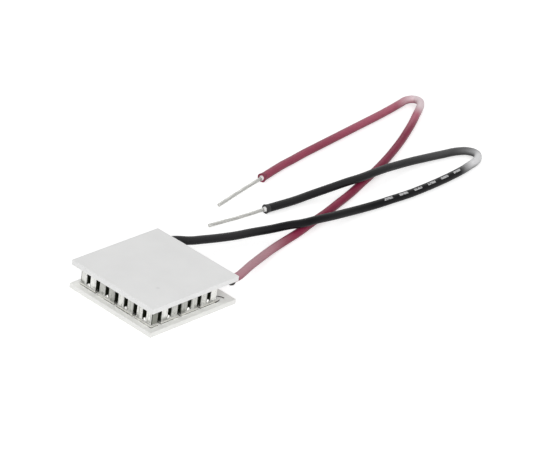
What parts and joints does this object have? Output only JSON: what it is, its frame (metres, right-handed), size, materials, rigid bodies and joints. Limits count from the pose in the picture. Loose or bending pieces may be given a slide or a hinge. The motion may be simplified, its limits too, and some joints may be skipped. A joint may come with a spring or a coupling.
{
  "type": "thermoelectric cooling module",
  "caption": "Square Peltier heat pump: ceramic plates with a grid of semiconductor legs between them, and red and black leads with stripped ends.",
  "frame": {"origin": "middle of the lower plate's underside", "axes": "+X the way the leads leave, +Y along the edge from the red lead to the black lead, +Z from the lower plate to the upper plate that carries the leads"},
  "size_m": [0.0792, 0.0279, 0.0041],
  "materials": {
    "ceramic": "as-fired alumina, smooth with a faint gloss",
    "tinned_tab": "tinned copper, satin",
    "p_leg": "sawn bismuth telluride, satin, seen as a grey metal",
    "n_leg": "sawn bismuth telluride, satin, a shade darker",
    "solder": "bright solder",
    "tinned_wire": "tinned copper wire",
    "red_jacket": "glossy dark red PVC",
    "black_jacket": "glossy black PVC"
  },
  "bodies": {
    "root": {"lower_plate": "ceramic", "upper_plate": "ceramic", "lower_tabs_row_1": "tinned_tab", "lower_tabs_row_2": "tinned_tab", "lower_tabs_row_3": "tinned_tab", "lower_tabs_row_4": "tinned_tab", "lower_tabs_row_5": "tinned_tab", "lower_tabs_row_6": "tinned_tab", "lower_tabs_row_7": "tinned_tab", "lower_tabs_row_8": "tinned_tab", "lower_tabs_outer_column": "tinned_tab", "lower_tabs_lead_column": "tinned_tab", "upper_tabs_row_1": "tinned_tab", "upper_tabs_row_2": "tinned_tab", "upper_tabs_row_3": "tinned_tab", "upper_tabs_row_4": "tinned_tab", "upper_tabs_row_5": "tinned_tab", "upper_tabs_row_6": "tinned_tab", "upper_tabs_row_7": "tinned_tab", "upper_tabs_row_8": "tinned_tab", "red_lead_pad": "tinned_tab", "black_lead_pad": "tinned_tab", "p_legs_row_1": "p_leg", "p_legs_row_2": "p_leg", "p_legs_row_3": "p_leg", "p_legs_row_4": "p_leg", "p_legs_row_5": "p_leg", "p_legs_row_6": "p_leg", "p_legs_row_7": "p_leg", "p_legs_row_8": "p_leg", "n_legs_row_1": "n_leg", "n_legs_row_2": "n_leg", "n_legs_row_3": "n_leg", "n_legs_row_4": "n_leg", "n_legs_row_5": "n_leg", "n_legs_row_6": "n_leg", "n_legs_row_7": "n_leg", "n_legs_row_8": "n_leg", "lower_solder_layers": "solder", "upper_solder_layers": "solder", "red_lead_solder": "solder", "black_lead_solder": "solder", "red_lead_tail": "tinned_wire", "black_lead_tail": "tinned_wire", "red_lead_jacket": "red_jacket", "black_lead_jacket": "black_jacket", "red_lead_stripped_end": "tinned_wire", "black_lead_stripped_end": "tinned_wire"}
  },
  "joints": []
}
